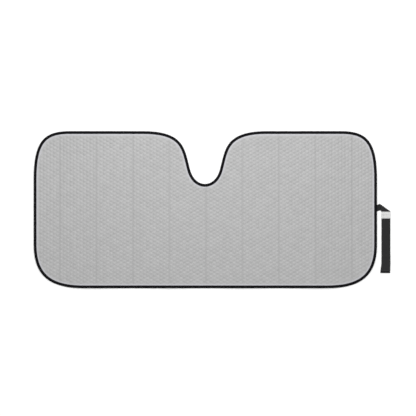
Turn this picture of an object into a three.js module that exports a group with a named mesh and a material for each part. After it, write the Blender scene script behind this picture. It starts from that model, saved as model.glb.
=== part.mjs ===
// Folding windscreen sunshade, opened out and lying face up: a bubble foil sheet with a taped edge and a strap.
// Millimetres, +Z up. The notch for the rear-view mirror is towards +Y and the strap is on the +X edge.
import * as THREE from 'three';

// Outline of the taped edge
const shadeLength = 1300;
const shadeHeight = 595;
const topCorner = { reach: 135, drop: 182, reachPull: 0.7, dropPull: 0.8 };
const bottomCorner = { reach: 188, drop: 167, reachPull: 0.69, dropPull: 0.71 };
const notch = {
  shift: -1.5, // its middle is a little left of the shade's
  depth: 200, // from the top edge to the bottom of the notch
  throat: 115, // width where the round bottom meets the straight walls
  bottomRise: 58, // height of the round bottom
  wallRise: 26, // height of the straight walls
  wallLean: 14, // degrees that each wall leans outwards
  mouth: 470, // width where the shoulders meet the top edge
  bottomPull: 16,
  throatPull: 50,
  shoulderPull: 62,
  mouthPull: 142,
};
const curveSteps = 13;

// Foil sheet and its concertina folds
const sheetThickness = 4;
const seamThickness = 2; // the bubbles are crushed flat where the tape is sewn on
const crushWidth = 6; // slope from the crushed seam up to full bubbles
const leafWidth = 138.7;
const foldsEachSide = 4; // and one in the middle
const foldShift = 2.2; // all of them lie a little right of the shade's middle
const foldLift = 3; // every second fold stays this much off the ground
const fold = { width: 8, frontDepth: 1.2, backDepth: 1 }; // pressed in from both faces
const creaseReach = 0.25; // a corner this close to a crease is moved onto it

// Edge tape, folded over the sheet's edge
const tapeThickness = 0.6;
const tapeCover = 10; // how far it reaches in over each face
const tapeRoundSteps = 6;
const seat = 0.3; // gap between pieces that lie on each other

// Closing strap: sewn under the edge tape, folded over on itself and laid along the edge
const strap = {
  width: 34.2,
  thickness: 1.4,
  rootWidth: 24.5, // gathered where it is sewn on
  rootY: 5.5,
  rootTuck: 8.5,
  clear: 16.9, // from the taped edge to the strap
  foldAngle: 35, // degrees that the folded edge runs downhill
  foldEndY: -6,
  foldCorner: 10, // from the taped edge to the near end of the folded edge
  foldRadius: 0.95,
  tipY: -240,
  hem: 8,
  hemStep: 0.8,
  tipLean: 4, // the tip lies askew, towards the shade
  tipLeanStart: 42, // above the tip
  selvedge: 0.8,
};
const rampLength = 38; // the strap comes down from the fold to the ground
const hookPatch = { length: 25, thickness: 1.2, top: 2 };
const loopPatch = { length: 48, thickness: 1.2, hemGap: 3, ramp: 14 };

const halfLength = shadeLength / 2;
const topY = shadeHeight / 2;
const bottomY = -shadeHeight / 2;
const edgeThickness = seamThickness + 2 * (seat + tapeThickness);
const seamBottom = tapeThickness + seat;
const seamTop = seamBottom + seamThickness;
const degree = Math.PI / 180;

// Height of the lying sheet above the ground at x: it zigzags between low and high folds.
function groundLift(x) {
  const leaf = Math.abs(x - foldShift) / leafWidth;
  const lowFold = 2 * Math.round(Math.min(leaf, foldsEachSide) / 2);
  return foldLift * Math.abs(leaf - lowFold);
}

function liftGeometry(geometry) {
  const position = geometry.attributes.position;
  for (let i = 0; i < position.count; i += 1) {
    position.setZ(i, position.getZ(i) + groundLift(position.getX(i)));
  }
  return geometry;
}

function foldPositions() {
  const positions = [];
  for (let n = -foldsEachSide; n <= foldsEachSide; n += 1) positions.push(foldShift + n * leafWidth);
  return positions;
}

// Half of the outline, from the middle of the bottom edge round to the bottom of the notch. side is 1 for the right
// half and -1 for the left half, which is drawn here as its mirror image.
function halfOutline(side) {
  const path = new THREE.Path();
  const { reach: lowReach, drop: lowDrop, reachPull: lowPull, dropPull: lowSidePull } = bottomCorner;
  const { reach, drop, reachPull, dropPull } = topCorner;
  const lowStart = halfLength - lowReach;
  const topStart = halfLength - reach;
  const wall = new THREE.Vector2(Math.sin(notch.wallLean * degree), Math.cos(notch.wallLean * degree));
  const notchBottom = topY - notch.depth;
  const middle = side * notch.shift;
  const throat = new THREE.Vector2(middle + notch.throat / 2, notchBottom + notch.bottomRise);
  const shoulder = throat.clone().addScaledVector(wall, notch.wallRise / wall.y);
  const shoulderHandle = shoulder.clone().addScaledVector(wall, notch.shoulderPull);
  const throatHandle = throat.clone().addScaledVector(wall, -notch.throatPull);
  const mouth = middle + notch.mouth / 2;
  path.moveTo(0, bottomY);
  path.lineTo(lowStart, bottomY);
  path.bezierCurveTo(
    lowStart + lowPull * lowReach, bottomY,
    halfLength, bottomY + lowDrop - lowSidePull * lowDrop,
    halfLength, bottomY + lowDrop,
  );
  path.lineTo(halfLength, topY - drop);
  path.bezierCurveTo(
    halfLength, topY - drop + dropPull * drop,
    topStart + reachPull * reach, topY,
    topStart, topY,
  );
  path.lineTo(mouth, topY);
  path.bezierCurveTo(
    mouth - notch.mouthPull, topY,
    shoulderHandle.x, shoulderHandle.y,
    shoulder.x, shoulder.y,
  );
  path.lineTo(throat.x, throat.y);
  path.bezierCurveTo(
    throatHandle.x, throatHandle.y,
    middle + notch.bottomPull, notchBottom,
    middle, notchBottom,
  );
  return path.getPoints(curveSteps);
}

function wholeOutline() {
  const right = halfOutline(1);
  const left = halfOutline(-1)
    .slice(1, -1)
    .reverse()
    .map((point) => new THREE.Vector2(-point.x, point.y));
  return [...right, ...left];
}

// The same outline with a point wherever it crosses one of the positions along X, so that it can bend there.
function splitAcross(points, positions) {
  return points.flatMap((point, i) => {
    const next = points[(i + 1) % points.length];
    const crossings = positions
      .filter((x) => (x - point.x) * (x - next.x) < 0)
      .map((x) => point.clone().lerp(next, (x - point.x) / (next.x - point.x)));
    crossings.sort((a, b) => a.distanceTo(point) - b.distanceTo(point));
    return [point, ...crossings];
  });
}

// A copy of a closed outline, moved inwards by the same distance all round.
function inset(points, distance) {
  return points.map((point, i) => {
    const before = points[(i + points.length - 1) % points.length];
    const after = points[(i + 1) % points.length];
    const incoming = point.clone().sub(before).normalize();
    const outgoing = after.clone().sub(point).normalize();
    const along = incoming.clone().add(outgoing).normalize();
    const inwards = new THREE.Vector2(-along.y, along.x);
    return point.clone().addScaledVector(inwards, distance / along.dot(incoming));
  });
}

// One mesh from rings of equal length. Without caps, the last ring joins the first.
function skinRings(rings, capFaces) {
  const count = rings[0].length;
  const indices = [];
  const joins = capFaces ? rings.length - 1 : rings.length;
  for (let ring = 0; ring < joins; ring += 1) {
    const next = (ring + 1) % rings.length;
    for (let i = 0; i < count; i += 1) {
      const j = (i + 1) % count;
      const corners = [ring * count + i, ring * count + j, next * count + j, next * count + i];
      indices.push(corners[0], corners[1], corners[2], corners[0], corners[2], corners[3]);
    }
  }
  if (capFaces) {
    const last = (rings.length - 1) * count;
    for (const [a, b, c] of capFaces) {
      indices.push(c, b, a, last + a, last + b, last + c);
    }
  }
  const geometry = new THREE.BufferGeometry();
  geometry.setAttribute('position', new THREE.Float32BufferAttribute(rings.flat(2), 3));
  geometry.setIndex(indices);
  return geometry;
}

// Triangles over the sheet's face. Its left and right sides are upright, and its lower and upper edges both run from
// one to the other without turning back.
function faceTriangles(points) {
  const count = points.length;
  const at = (i) => points[(i + count) % count];
  const upright = (i, j) => Math.abs(at(i).x - at(j).x) < 0.01;
  const start = points.findIndex((point, i) => point.x < 0 && upright(i, i - 1));
  let end = points.findIndex((point, i) => point.x > 0 && upright(i, i + 1));
  if (end < start) end += count;
  const triangles = [];
  let low = start;
  let high = start - 1;
  while (low < end || high > end + 1 - count) {
    const nextLow = low < end ? at(low + 1).x : Infinity;
    const nextHigh = high > end + 1 - count ? at(high - 1).x : Infinity;
    if (nextLow <= nextHigh) {
      triangles.push([low, low + 1, high]);
      low += 1;
    } else {
      triangles.push([low, high - 1, high]);
      high -= 1;
    }
  }
  return triangles.map((triangle) => triangle.map((i) => (i + count) % count));
}

function ringAt(points, z) {
  return points.map((point) => [point.x, point.y, z]);
}

// Cuts each triangle that crosses the plane at x. Neighbours share the new corners, so the sheet can bend there.
function creaseAt(geometry, x) {
  const corners = Array.from(geometry.attributes.position.array);
  for (let i = 0; i < corners.length; i += 3) {
    if (Math.abs(corners[i] - x) < creaseReach) corners[i] = x;
  }
  const onEdge = new Map();
  const cut = (a, b) => {
    const key = a < b ? `${a} ${b}` : `${b} ${a}`;
    if (!onEdge.has(key)) {
      const share = (x - corners[3 * a]) / (corners[3 * b] - corners[3 * a]);
      onEdge.set(key, corners.length / 3);
      corners.push(x);
      for (const axis of [1, 2]) {
        corners.push(THREE.MathUtils.lerp(corners[3 * a + axis], corners[3 * b + axis], share));
      }
    }
    return onEdge.get(key);
  };
  const indices = [];
  const old = geometry.index.array;
  for (let i = 0; i < old.length; i += 3) {
    const triangle = [old[i], old[i + 1], old[i + 2]];
    const sides = triangle.map((corner) => Math.sign(corners[3 * corner] - x));
    if (!sides.includes(1) || !sides.includes(-1)) {
      indices.push(...triangle);
      continue;
    }
    const onPlane = sides.indexOf(0);
    const first = onPlane >= 0 ? onPlane : sides.findIndex((side) => sides.indexOf(side) === sides.lastIndexOf(side));
    const [a, b, c] = [0, 1, 2].map((step) => triangle[(first + step) % 3]);
    if (onPlane >= 0) {
      const middle = cut(b, c);
      indices.push(a, b, middle, a, middle, c);
    } else {
      const [nearB, nearC] = [cut(a, b), cut(a, c)];
      indices.push(a, nearB, nearC, nearB, b, c, nearB, c, nearC);
    }
  }
  const creased = new THREE.BufferGeometry();
  creased.setAttribute('position', new THREE.Float32BufferAttribute(corners, 3));
  creased.setIndex(indices);
  return creased;
}

// Presses one fold into both faces, in a V that runs out on the slope up from the crushed seam.
function pressFold(geometry, x) {
  let creased = geometry;
  for (const side of [-0.5, 0, 0.5]) creased = creaseAt(creased, x + side * fold.width);
  const position = creased.attributes.position;
  for (let i = 0; i < position.count; i += 1) {
    const share = Math.max(0, 1 - Math.abs(position.getX(i) - x) / (fold.width / 2));
    const z = position.getZ(i);
    if (z > sheetThickness - 0.01) position.setZ(i, z - fold.frontDepth * share);
    if (z < 0.01) position.setZ(i, z + fold.backDepth * share);
  }
  return creased;
}

function foilSheetGeometry(bareOutline) {
  const creases = foldPositions().flatMap((x) => [x - fold.width / 2, x, x + fold.width / 2]);
  const outline = splitAcross(bareOutline, creases);
  const edge = inset(outline, edgeThickness / 2);
  const crushed = inset(outline, tapeCover + seat);
  const full = inset(outline, tapeCover + seat + crushWidth);
  const sheet = skinRings([
    ringAt(full, 0),
    ringAt(crushed, seamBottom),
    ringAt(edge, seamBottom),
    ringAt(edge, seamTop),
    ringAt(crushed, seamTop),
    ringAt(full, sheetThickness),
  ], faceTriangles(full));
  return liftGeometry(foldPositions().reduce(pressFold, sheet));
}

// Round nose of the folded tape, from its lower face to its upper face, as distance inwards and height.
function tapeNose(radius) {
  const middle = edgeThickness / 2;
  const nose = [];
  for (let i = 0; i <= tapeRoundSteps; i += 1) {
    const turn = Math.PI * (i / tapeRoundSteps - 0.5);
    nose.push([middle - radius * Math.cos(turn), middle + radius * Math.sin(turn)]);
  }
  return nose;
}

function edgeTapeGeometry(bareOutline) {
  const outline = splitAcross(bareOutline, foldPositions());
  const outer = tapeNose(edgeThickness / 2);
  const inner = tapeNose(edgeThickness / 2 - tapeThickness).reverse();
  const section = [
    [tapeCover, 0],
    ...outer,
    [tapeCover, edgeThickness],
    [tapeCover, edgeThickness - tapeThickness],
    ...inner,
    [tapeCover, tapeThickness],
  ];
  const rings = section.map(([distance, z]) => ringAt(inset(outline, distance), z));
  return liftGeometry(skinRings(rings));
}

function smooth(value) {
  const t = THREE.MathUtils.clamp(value, 0, 1);
  return t * t * (3 - 2 * t);
}

// A flat band as a solid. Each row goes across it, with its two ends, its outward side and its thickness.
function bandGeometry(rows) {
  const loops = rows.map(({ left, right, out, thickness }) => {
    const edge = strap.selvedge / left.distanceTo(right);
    const half = thickness / 2;
    const spots = [[0, 0], [edge, -half], [0.5, -half], [1 - edge, -half]];
    spots.push([1, 0], [1 - edge, half], [0.5, half], [edge, half]);
    return spots.map(([across, rise]) => left.clone().lerp(right, across).addScaledVector(out, rise).toArray());
  });
  const fan = [];
  for (let i = 1; i < loops[0].length - 1; i += 1) fan.push([0, i, i + 1]);
  return skinRings(loops, fan);
}

const bandNear = halfLength + strap.clear;
const bandFar = bandNear + strap.width;
const strapFloor = strap.thickness / 2;
const overlapZ = strapFloor + 2 * strap.foldRadius;
const hemTop = strap.tipY + strap.hem;
const loopRise = loopPatch.thickness + seat;
const loopLow = hemTop + loopPatch.hemGap;
const loopHigh = loopLow + loopPatch.length;
const up = new THREE.Vector3(0, 0, 1);

// The part of the strap that lies along the shade, at a height y on it.
function bandRow(y) {
  const lean = smooth((strap.tipY + strap.tipLeanStart - y) / strap.tipLeanStart);
  const fallen = smooth((strap.foldEndY - y) / rampLength);
  const raised = smooth((loopHigh + loopPatch.ramp - y) / loopPatch.ramp);
  const z = strapFloor + (overlapZ - strapFloor) * (1 - fallen) + loopRise * raised;
  return {
    left: new THREE.Vector3(bandNear - strap.tipLean * lean, y, z),
    right: new THREE.Vector3(bandFar - (strap.tipLean / 4) * lean, y, z),
    out: up,
    thickness: strap.thickness,
  };
}

function rowBetween(a, b, t) {
  return {
    left: a.left.clone().lerp(b.left, t),
    right: a.right.clone().lerp(b.right, t),
    out: a.out,
    thickness: strap.thickness,
  };
}

function strapGeometry() {
  const down = up.clone().negate();
  const foldLine = new THREE.Vector3(Math.cos(strap.foldAngle * degree), -Math.sin(strap.foldAngle * degree), 0);
  const foldOut = new THREE.Vector3(-foldLine.y, foldLine.x, 0);
  const foldInset = strap.foldRadius + strap.thickness / 2;
  const foldFar = new THREE.Vector3(bandFar, strap.foldEndY, strapFloor);
  const foldRun = (bandFar - halfLength - strap.foldCorner) / foldLine.x;
  const foldNear = foldFar.clone().addScaledVector(foldLine, -foldRun);
  foldFar.addScaledVector(foldOut, -foldInset);
  foldNear.addScaledVector(foldOut, -foldInset);

  const rootTop = strap.rootY + strap.rootWidth / 2;
  const rootBottom = strap.rootY - strap.rootWidth / 2;
  const rootRow = (x) => {
    const z = groundLift(x) - seat - strap.thickness / 2;
    return {
      left: new THREE.Vector3(x, rootTop, z),
      right: new THREE.Vector3(x, rootBottom, z),
      out: down,
      thickness: strap.thickness,
    };
  };
  const rows = [rootRow(halfLength - strap.rootTuck)];
  const leaving = rootRow(halfLength);
  const lowEdge = new THREE.QuadraticBezierCurve3(
    leaving.right,
    new THREE.Vector3(bandNear, rootBottom + strap.clear / 2, leaving.right.z),
    foldFar,
  );
  const stubSteps = 6;
  for (let i = 0; i <= stubSteps; i += 1) {
    const row = rowBetween(leaving, { left: foldNear, right: foldFar }, i / stubSteps);
    row.right = lowEdge.getPoint(i / stubSteps);
    rows.push(row);
  }
  const rollSteps = 8;
  for (let i = 1; i < rollSteps; i += 1) {
    const turn = Math.PI * (i / rollSteps - 0.5);
    const out = foldOut.clone().multiplyScalar(Math.cos(turn)).addScaledVector(up, Math.sin(turn));
    const shift = out.clone().multiplyScalar(strap.foldRadius).addScaledVector(up, strap.foldRadius);
    rows.push({
      left: foldNear.clone().add(shift),
      right: foldFar.clone().add(shift),
      out,
      thickness: strap.thickness,
    });
  }
  const overFold = {
    left: foldNear.clone().setZ(overlapZ),
    right: foldFar.clone().setZ(overlapZ),
    out: up,
  };
  const square = bandRow(strap.foldEndY - hookPatch.top);
  const fanSteps = 4;
  for (let i = 0; i < fanSteps; i += 1) rows.push(rowBetween(overFold, square, i / fanSteps));
  rows.push(square);
  const bandSteps = 30;
  const hemStart = hemTop + strap.hemStep;
  for (let i = 1; i <= bandSteps; i += 1) {
    rows.push(bandRow(THREE.MathUtils.lerp(square.left.y, hemStart, i / bandSteps)));
  }
  for (const y of [hemTop, strap.tipY]) {
    const row = bandRow(y);
    const top = row.left.z + strap.thickness / 2;
    row.thickness = top;
    row.left.z = top / 2;
    row.right.z = top / 2;
    rows.push(row);
  }
  return bandGeometry(rows);
}

// A patch sewn to the strap between two heights on it. side is 1 on its upper face and -1 on its lower face.
function patchGeometry(high, low, thickness, side) {
  const steps = 8;
  const rows = [];
  for (let i = 0; i <= steps; i += 1) {
    const row = bandRow(THREE.MathUtils.lerp(high, low, i / steps));
    const shift = side * (strap.thickness / 2 + seat + thickness / 2);
    row.left.z += shift;
    row.right.z += shift;
    rows.push({ ...row, thickness });
  }
  return bandGeometry(rows);
}

function namedMesh(name, geometry, material) {
  const flat = geometry.index ? geometry.toNonIndexed() : geometry;
  flat.computeVertexNormals();
  const mesh = new THREE.Mesh(flat, new THREE.MeshStandardMaterial(material));
  mesh.name = name;
  return mesh;
}

const outline = wholeOutline();
const hookTop = strap.foldEndY - hookPatch.top;
const sunshade = new THREE.Group();
sunshade.add(
  namedMesh('foil_sheet', foilSheetGeometry(outline), { color: 0xb9b9ba, roughness: 0.4, metalness: 0.7 }),
  namedMesh('edge_tape', edgeTapeGeometry(outline), { color: 0x101013, roughness: 0.75, metalness: 0 }),
  namedMesh('strap', strapGeometry(), { color: 0x2f2f31, roughness: 0.85, metalness: 0 }),
  namedMesh(
    'hook_patch',
    patchGeometry(hookTop, hookTop - hookPatch.length, hookPatch.thickness, 1),
    { color: 0xe2e2e0, roughness: 0.8, metalness: 0 },
  ),
  namedMesh(
    'loop_patch',
    patchGeometry(loopHigh, loopLow, loopPatch.thickness, -1),
    { color: 0x29292b, roughness: 0.95, metalness: 0 },
  ),
);

// The whole is centred on its own origin, strap included.
sunshade.position.x = (halfLength - bandFar) / 2;

export default sunshade;
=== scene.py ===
import math

import bpy
import numpy as np
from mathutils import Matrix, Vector
from mathutils.geometry import delaunay_2d_cdt


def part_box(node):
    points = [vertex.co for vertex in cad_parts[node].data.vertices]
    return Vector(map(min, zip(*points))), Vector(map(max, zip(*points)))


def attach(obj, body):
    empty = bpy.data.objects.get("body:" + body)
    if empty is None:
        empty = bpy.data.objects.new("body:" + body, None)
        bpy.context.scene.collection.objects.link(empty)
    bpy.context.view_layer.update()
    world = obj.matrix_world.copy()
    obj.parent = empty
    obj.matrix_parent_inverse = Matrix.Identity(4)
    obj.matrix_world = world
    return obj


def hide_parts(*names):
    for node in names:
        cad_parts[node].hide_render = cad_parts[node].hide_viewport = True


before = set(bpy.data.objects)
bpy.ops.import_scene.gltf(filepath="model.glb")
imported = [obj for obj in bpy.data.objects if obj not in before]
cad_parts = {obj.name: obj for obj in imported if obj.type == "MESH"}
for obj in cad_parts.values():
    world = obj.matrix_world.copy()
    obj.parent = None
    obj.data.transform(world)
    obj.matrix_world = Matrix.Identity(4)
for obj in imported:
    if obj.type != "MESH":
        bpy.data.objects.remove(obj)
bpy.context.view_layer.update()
print("frame loaded", sorted(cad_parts))

mm = 0.001
tapeLow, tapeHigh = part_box("edge_tape")
shadeX = (tapeLow.x + tapeHigh.x) / 2       # the shade's middle, which the outline is drawn from
halfLength = (tapeHigh.x - tapeLow.x) / 2
topY, bottomY = tapeHigh.y, tapeLow.y

# how the opened sheet lies: it zigzags between low folds on the ground and high folds
lie = {"leafWidth": 138.7 * mm, "foldsEachSide": 4, "foldShift": 2.2 * mm, "foldLift": 3 * mm}
foldX = shadeX + lie["foldShift"]


def smooth(value):
    t = np.clip(value, 0, 1)
    return t * t * (3 - 2 * t)


def sheetLift(x):
    leaf = np.abs(x - foldX) / lie["leafWidth"]
    lowFold = 2 * np.round(np.minimum(leaf, lie["foldsEachSide"]) / 2)
    return lie["foldLift"] * np.abs(leaf - lowFold)


# Node trees

def addNode(tree, kind, feeds=None, **settings):
    node = tree.nodes.new(kind)
    for key, value in settings.items():
        setattr(node, key, value)
    for key, value in (feeds or {}).items():
        if isinstance(value, bpy.types.NodeSocket):
            tree.links.new(value, node.inputs[key])
        else:
            node.inputs[key].default_value = value
    return node


def maths(tree, operation, *values, clamp=False):
    feeds = dict(enumerate(values))
    return addNode(tree, "ShaderNodeMath", feeds, operation=operation, use_clamp=clamp).outputs[0]


def geometryTree(name, inputs):
    tree = bpy.data.node_groups.new(name, "GeometryNodeTree")
    for label, kind in inputs.items():
        tree.interface.new_socket(label, in_out="INPUT", socket_type="NodeSocket" + kind)
    tree.interface.new_socket("Geometry", in_out="OUTPUT", socket_type="NodeSocketGeometry")
    return tree, tree.nodes.new("NodeGroupInput").outputs


def finishTree(tree, last, material):
    coated = addNode(tree, "GeometryNodeSetMaterial", {"Geometry": last.outputs[0], "Material": material})
    tree.links.new(coated.outputs[0], tree.nodes.new("NodeGroupOutput").inputs[0])


def grownMesh(name, carrier, tree, values):
    modifier = carrier.modifiers.new("grow", "NODES")
    modifier.node_group = tree
    for item in tree.interface.items_tree:
        if item.in_out == "INPUT" and item.name in values:
            modifier[item.identifier] = values[item.name]
    carrier.update_tag()
    evaluated = carrier.evaluated_get(bpy.context.evaluated_depsgraph_get())
    mesh = bpy.data.meshes.new_from_object(evaluated)
    mesh.name = name
    carrier.modifiers.remove(modifier)
    bpy.data.objects.remove(carrier)
    return mesh


# Meshes

def meshOf(name, vertices, faces, edges=()):
    mesh = bpy.data.meshes.new(name)
    corners = [tuple(v) for v in np.asarray(vertices, float)]
    mesh.from_pydata(corners, list(edges), [tuple(f) for f in faces])
    mesh.validate()
    mesh.update()
    return mesh


def place(name, mesh, material=None):
    thing = bpy.data.objects.new(name, mesh)
    bpy.context.scene.collection.objects.link(thing)
    if material:
        mesh.materials.clear()
        mesh.materials.append(material)
    mesh.polygons.foreach_set("use_smooth", [True] * len(mesh.polygons))
    return thing


def positionsOf(mesh):
    flat = np.empty(3 * len(mesh.vertices))
    mesh.vertices.foreach_get("co", flat)
    return flat.reshape(-1, 3)


def trianglesOf(mesh):
    mesh.calc_loop_triangles()
    flat = np.empty(3 * len(mesh.loop_triangles), int)
    mesh.loop_triangles.foreach_get("vertices", flat)
    return flat.reshape(-1, 3)


def addFloats(mesh, name, values):
    mesh.attributes.new(name, "FLOAT", "POINT").data.foreach_set("value", np.asarray(values, float))


# rings of equal length skinned into one closed mesh; closed rings join last to first, others get end caps
def skinned(rings, joined):
    rings = np.asarray(rings)
    count, size = rings.shape[:2]
    faces = []
    for i in range(count if joined else count - 1):
        a, b = i * size, (i + 1) % count * size
        for j in range(size):
            k = (j + 1) % size
            faces.append((a + j, a + k, b + k, b + j))
    if not joined:
        faces.append(tuple(range(size))[::-1])
        faces.append(tuple((count - 1) * size + j for j in range(size)))
    return rings.reshape(-1, 3), faces


def addUv(mesh, perVertex):
    loops = np.empty(len(mesh.loops), int)
    mesh.loops.foreach_get("vertex_index", loops)
    mesh.uv_layers.new(name="UVMap").data.foreach_set("uv", np.asarray(perVertex)[loops].ravel())


# Outline of the taped edge

outlineShape = {
    "topReach": 135 * mm, "topDrop": 182 * mm, "topReachPull": 0.7, "topDropPull": 0.8,
    "lowReach": 188 * mm, "lowDrop": 167 * mm, "lowReachPull": 0.69, "lowDropPull": 0.71,
    "notchShift": -1.5 * mm, "notchDepth": 200 * mm, "throat": 115 * mm, "bottomRise": 58 * mm,
    "wallRise": 26 * mm, "wallLean": 14, "mouth": 470 * mm,
    "bottomPull": 16 * mm, "throatPull": 50 * mm, "shoulderPull": 62 * mm, "mouthPull": 142 * mm,
    "spacing": 2 * mm,
}


def bezier(start, pullStart, pullEnd, end):
    t = np.linspace(0, 1, 60)[:, None]
    corners = [np.array(p, float) for p in (start, pullStart, pullEnd, end)]
    weights = ((1 - t) ** 3, 3 * (1 - t) ** 2 * t, 3 * (1 - t) * t ** 2, t ** 3)
    return sum(w * p for w, p in zip(weights, corners))


# from the middle of the bottom edge round to the bottom of the notch, on the +X side of the shade's middle
def halfOutline(side):
    o = outlineShape
    middle = side * o["notchShift"]
    notchBottom = topY - o["notchDepth"]
    lean = math.radians(o["wallLean"])
    wall = np.array([math.sin(lean), math.cos(lean)])
    throat = np.array([middle + o["throat"] / 2, notchBottom + o["bottomRise"]])
    shoulder = throat + wall * o["wallRise"] / wall[1]
    mouth = middle + o["mouth"] / 2
    lowStart, topStart = halfLength - o["lowReach"], halfLength - o["topReach"]
    return np.vstack([
        [[0, bottomY]],
        bezier(
            (lowStart, bottomY),
            (lowStart + o["lowReachPull"] * o["lowReach"], bottomY),
            (halfLength, bottomY + (1 - o["lowDropPull"]) * o["lowDrop"]),
            (halfLength, bottomY + o["lowDrop"]),
        ),
        bezier(
            (halfLength, topY - o["topDrop"]),
            (halfLength, topY - (1 - o["topDropPull"]) * o["topDrop"]),
            (topStart + o["topReachPull"] * o["topReach"], topY),
            (topStart, topY),
        ),
        bezier((mouth, topY), (mouth - o["mouthPull"], topY), shoulder + wall * o["shoulderPull"], shoulder),
        bezier(
            throat, throat - wall * o["throatPull"],
            (middle + o["bottomPull"], notchBottom), (middle, notchBottom),
        ),
    ])


# points at even steps round a closed line
def evenly(points, spacing):
    loop = np.vstack([points, points[:1]])
    run = np.r_[0, np.cumsum(np.hypot(*np.diff(loop, axis=0).T))]
    count = int(round(run[-1] / spacing))
    at = np.arange(count) * run[-1] / count
    return np.stack([np.interp(at, run, loop[:, k]) for k in range(2)], 1)


rightHalf, leftHalf = halfOutline(1), halfOutline(-1)[::-1] * (-1, 1)
outline = evenly(np.vstack([rightHalf, leftHalf[1:-1]]), outlineShape["spacing"]) + (shadeX, 0)
tangents = np.roll(outline, -3, axis=0) - np.roll(outline, 3, axis=0)
tangents /= np.hypot(*tangents.T)[:, None]
inwards = np.stack([-tangents[:, 1], tangents[:, 0]], 1)


def insetOutline(distance, step=1):
    return (outline + inwards * distance)[::step]


# distance of each point from the outline, for points inside it
def edgeDistance(points):
    found = [np.hypot(*(outline[None] - part[:, None]).transpose(2, 0, 1)).min(1)
             for part in np.array_split(points, max(1, len(points) // 2000))]
    return np.concatenate(found)


def insideOf(points, loops):
    inside = np.zeros(len(points), bool)
    for loop in loops:
        for (ax, ay), (bx, by) in zip(loop, np.roll(loop, -1, axis=0)):
            if ay == by:
                continue
            crosses = (ay > points[:, 1]) != (by > points[:, 1])
            inside ^= crosses & (points[:, 0] < ax + (points[:, 1] - ay) * (bx - ax) / (by - ay))
    return inside


print("outline", len(outline), "points")


# Materials

def newMaterial(name, roughness, metallic=0.0, colour=None, gloss=0.5):
    material = bpy.data.materials.new(name)
    material.use_nodes = True
    tree = material.node_tree
    shader = tree.nodes["Principled BSDF"]
    shader.inputs["Roughness"].default_value = roughness
    shader.inputs["Metallic"].default_value = metallic
    shader.inputs["Specular IOR Level"].default_value = gloss
    if colour:
        shader.inputs["Base Color"].default_value = (*colour, 1)
        material.diffuse_color = (*colour, 1)
    return material, tree, shader


def bump(tree, shader, height, distance, strength=1.0):
    node = addNode(tree, "ShaderNodeBump", {"Height": height, "Distance": distance, "Strength": strength})
    tree.links.new(node.outputs["Normal"], shader.inputs["Normal"])


def noise(tree, scale, detail=2.0):
    coordinates = addNode(tree, "ShaderNodeTexCoord").outputs["Object"]
    feeds = {"Vector": coordinates, "Scale": scale, "Detail": detail}
    return addNode(tree, "ShaderNodeTexNoise", feeds).outputs["Fac"]


# a colour times a grey share
def toned(tree, colour, share):
    grey = addNode(tree, "ShaderNodeCombineColor", {0: share, 1: share, 2: share}).outputs[0]
    feeds = {0: 1.0, 6: (*colour, 1), 7: grey}
    return addNode(tree, "ShaderNodeMix", feeds, data_type="RGBA", blend_type="MULTIPLY").outputs[2]


# a colour that turns into another where a share grows from 0 to 1
def blended(tree, share, colour, other):
    feeds = {0: share, 6: colour, 7: (*other, 1)}
    return addNode(tree, "ShaderNodeMix", feeds, data_type="RGBA").outputs[2]


def attribute(tree, name):
    return addNode(tree, "ShaderNodeAttribute", attribute_name=name).outputs["Fac"]


foilLook = {
    # the rim colour is a painted highlight on the crushed flat film next to the tape
    "colour": (0.372, 0.372, 0.372), "tintSpread": 0.08, "rimHighlightColour": (0.46, 0.46, 0.485),
    # the fold colour is painted shade along the pressed fold grooves
    "foldShadeColour": (0.345, 0.345, 0.345), "roughness": 0.6, "metallic": 0.4,
    "crinkleScale": 420.0, "crinkleDepth": 0.35 * mm, "crinkleStrength": 0.5,
    "swellScale": 60.0, "swellShare": 2.5,
}


def foilMaterial():
    look = foilLook
    material, tree, shader = newMaterial("aluminised film", look["roughness"], look["metallic"])
    spread = look["tintSpread"]
    tint = maths(tree, "MULTIPLY_ADD", attribute(tree, "tint"), spread, 1 - spread / 2)
    film = toned(tree, look["colour"], tint)
    # painted shade darkening the pressed fold lines
    foldShaded = blended(tree, attribute(tree, "fold"), film, look["foldShadeColour"])
    # painted highlight on the crushed flat film along the rim
    highlighted = blended(tree, attribute(tree, "rim"), foldShaded, look["rimHighlightColour"])
    tree.links.new(highlighted, shader.inputs["Base Color"])
    crinkles = noise(tree, look["crinkleScale"], 3.0)
    height = maths(tree, "MULTIPLY_ADD", noise(tree, look["swellScale"]), look["swellShare"], crinkles)
    bump(tree, shader, height, look["crinkleDepth"], look["crinkleStrength"])
    return material


clothLook = {"fibreScale": 1200.0, "fibreSpread": 0.5, "weaveDepth": 0.12 * mm}


# cloth whose weave follows its UV map, in millimetres along u and across v; a shaded one follows its mesh too,
# whose shade attribute on the strap includes painted shade in the rib grooves and a painted highlight by the
# hem
def clothMaterial(name, colour, weave, roughness=0.85, gloss=0.2, shaded=False):
    look = clothLook
    material, tree, shader = newMaterial(name, roughness, gloss=gloss)
    uv = addNode(tree, "ShaderNodeTexCoord").outputs["UV"]
    parts = addNode(tree, "ShaderNodeSeparateXYZ", {0: uv}).outputs
    warp = maths(tree, "SINE", maths(tree, "MULTIPLY", parts[0], 2 * math.pi / weave[0]))
    weft = maths(tree, "SINE", maths(tree, "MULTIPLY", parts[1], 2 * math.pi / weave[1]))
    fibres = noise(tree, look["fibreScale"])
    shade = maths(tree, "MULTIPLY_ADD", fibres, look["fibreSpread"], 1 - look["fibreSpread"] / 2)
    if shaded:
        shade = maths(tree, "MULTIPLY", shade, attribute(tree, "shade"))
    tree.links.new(toned(tree, colour, shade), shader.inputs["Base Color"])
    bump(tree, shader, maths(tree, "MULTIPLY", warp, weft), look["weaveDepth"])
    return material


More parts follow.
